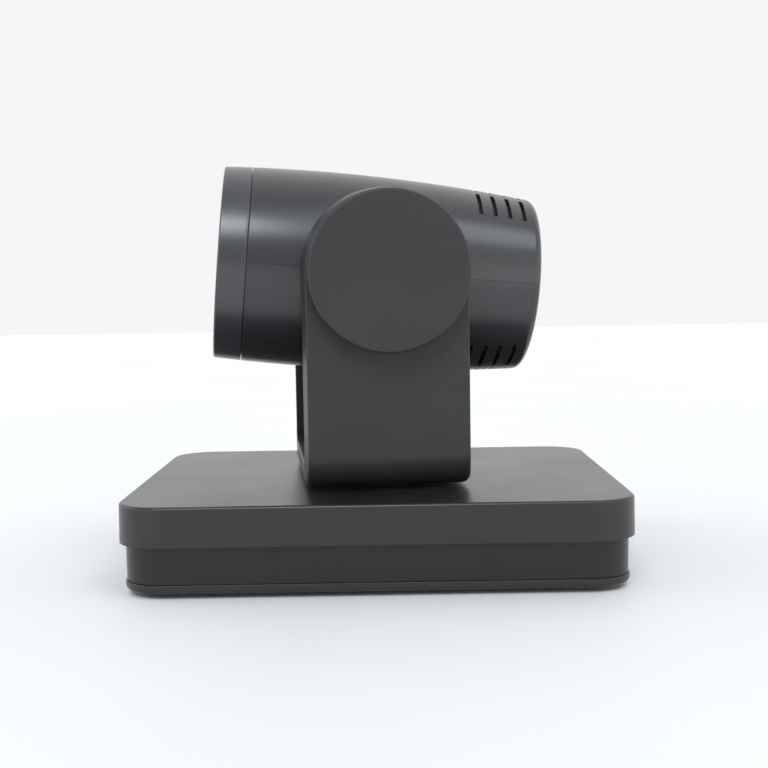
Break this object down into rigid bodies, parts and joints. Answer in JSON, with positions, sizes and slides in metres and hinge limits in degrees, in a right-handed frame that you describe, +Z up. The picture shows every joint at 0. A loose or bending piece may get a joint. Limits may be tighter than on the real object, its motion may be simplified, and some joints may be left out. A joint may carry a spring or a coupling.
{
  "type": "ptz camera",
  "caption": "Pan-tilt-zoom conference camera with a barrel head in a U-shaped yoke on a flat rectangular base with a connector panel.",
  "frame": {"origin": "middle of the base's underside, at the level the rubber feet stand on", "axes": "+Z up; the base's length runs along X with the camera's front at -X and the connector panel at +X; +Y to the camera's right as it looks out along -X"},
  "size_m": [0.2, 0.162, 0.1688],
  "materials": {
    "cover_plastic": "matte charcoal moulded plastic with a fine texture",
    "lower_plastic": "matte charcoal moulded plastic",
    "yoke_plastic": "matte charcoal moulded plastic with a fine texture",
    "head_plastic": "satin charcoal paint over moulded plastic",
    "pan_steel": "black powder-coated steel",
    "foot_rubber": "black rubber",
    "brass": "turned brass",
    "screw_steel": "zinc-plated steel",
    "circuit_board": "green solder mask",
    "chip_black": "black moulded resin",
    "aluminium": "machined aluminium",
    "jack_metal": "nickel-plated shell",
    "jack_plastic": "black moulded plastic",
    "selector_blue": "blue moulded plastic",
    "selector_white": "white moulded plastic",
    "ir_plastic": "dark red translucent window",
    "light_guide": "frosted light guide",
    "motor_metal": "plated motor can",
    "bearing_steel": "ground bearing steel",
    "gear_plastic": "natural acetal",
    "lens_black": "anodised flat black",
    "screen_mesh": "black woven dust screen",
    "front_glass": "coated clear glass",
    "lens_glass": "coated optical glass",
    "sensor_glass": "sensor die under glass"
  },
  "bodies": {
    "base": {"base_cover": "cover_plastic", "base_lower_shell": "lower_plastic", "bottom_pan": "pan_steel", "rubber_feet": "foot_rubber", "tripod_insert": "brass", "base_screws": "screw_steel", "main_board": "circuit_board", "board_chips": "chip_black", "heat_sink": "aluminium", "rear_panel": "jack_plastic", "network_jack": "jack_metal", "hdmi_jack": "jack_metal", "usb_jack": "jack_metal", "serial_jack": "jack_plastic", "audio_jack": "jack_plastic", "power_jack": "jack_plastic", "selector_body": "selector_blue", "ir_window": "ir_plastic", "status_light": "light_guide", "pan_plate": "aluminium", "pan_bearing": "bearing_steel", "pan_motor": "motor_metal"},
    "selector": {"selector_knob": "selector_white"},
    "pan_drive": {"pan_pinion": "brass"},
    "yoke": {"pan_hub": "aluminium", "pan_gear": "gear_plastic", "pan_retainer": "screw_steel", "yoke_frame": "yoke_plastic", "yoke_cover": "yoke_plastic", "yoke_screws": "screw_steel", "hub_cap_near": "yoke_plastic", "hub_cap_far": "yoke_plastic", "tilt_bearing_near": "bearing_steel", "tilt_bearing_far": "bearing_steel", "tilt_motor": "motor_metal", "angle_sensor_board": "circuit_board"},
    "tilt_drive": {"tilt_pinion": "brass"},
    "head": {"tilt_shaft_near": "aluminium", "tilt_shaft_far": "aluminium", "tilt_gear": "gear_plastic", "head_chassis": "aluminium", "head_upper_shell": "head_plastic", "head_lower_shell": "head_plastic", "vent_screen_upper": "screen_mesh", "vent_screen_lower": "screen_mesh", "front_ring": "head_plastic", "front_glass": "front_glass", "front_baffle": "lens_black", "head_screws": "screw_steel", "lens_tube": "lens_black", "front_lens": "lens_glass", "guide_rods": "screw_steel", "image_sensor": "sensor_glass", "sensor_board": "circuit_board", "video_board": "circuit_board", "video_chips": "chip_black"},
    "zoom_group": {"zoom_cell": "lens_black", "zoom_lens": "lens_glass"},
    "focus_group": {"focus_cell": "lens_black", "focus_lens": "lens_glass"}
  },
  "joints": [
    {"name": "pan", "type": "hinge", "parent": "base", "child": "yoke", "pos_m": [0, 0, 0.0297], "axis": [0, 0, 1], "range_deg": [-176.1, 163.9]},
    {"name": "tilt", "type": "hinge", "parent": "yoke", "child": "head", "pos_m": [0, 0, 0.1229], "axis": [-0.1063, 0.9943, 0], "range_deg": [-35.1, 84.9]},
    {"name": "pan_pinion_spin", "type": "hinge", "parent": "base", "child": "pan_drive", "pos_m": [0, 0.03, 0.0208], "axis": [0, 0, 1], "range_deg": [-656, 705]},
    {"name": "tilt_pinion_spin", "type": "hinge", "parent": "yoke", "child": "tilt_drive", "pos_m": [0, 0, 0.1021], "axis": [-0.1063, 0.9943, 0], "range_deg": [-284, 118]},
    {"name": "zoom", "type": "slide", "parent": "head", "child": "zoom_group", "axis": [-0.9904, -0.1058, 0.0889], "range_m": [-0.008, 0.012]},
    {"name": "focus", "type": "slide", "parent": "head", "child": "focus_group", "axis": [-0.9904, -0.1058, 0.0889], "range_m": [-0.0015, 0.0015]},
    {"name": "selector_turn", "type": "hinge", "parent": "base", "child": "selector", "pos_m": [0.0957, -0.041, 0.0125], "axis": [1, 0, 0], "continuous": true}
  ],
  "couplings": [
    {"joint": "pan_pinion_spin", "follows": "pan", "ratio": -4},
    {"joint": "tilt_pinion_spin", "follows": "tilt", "ratio": -3.3333}
  ]
}
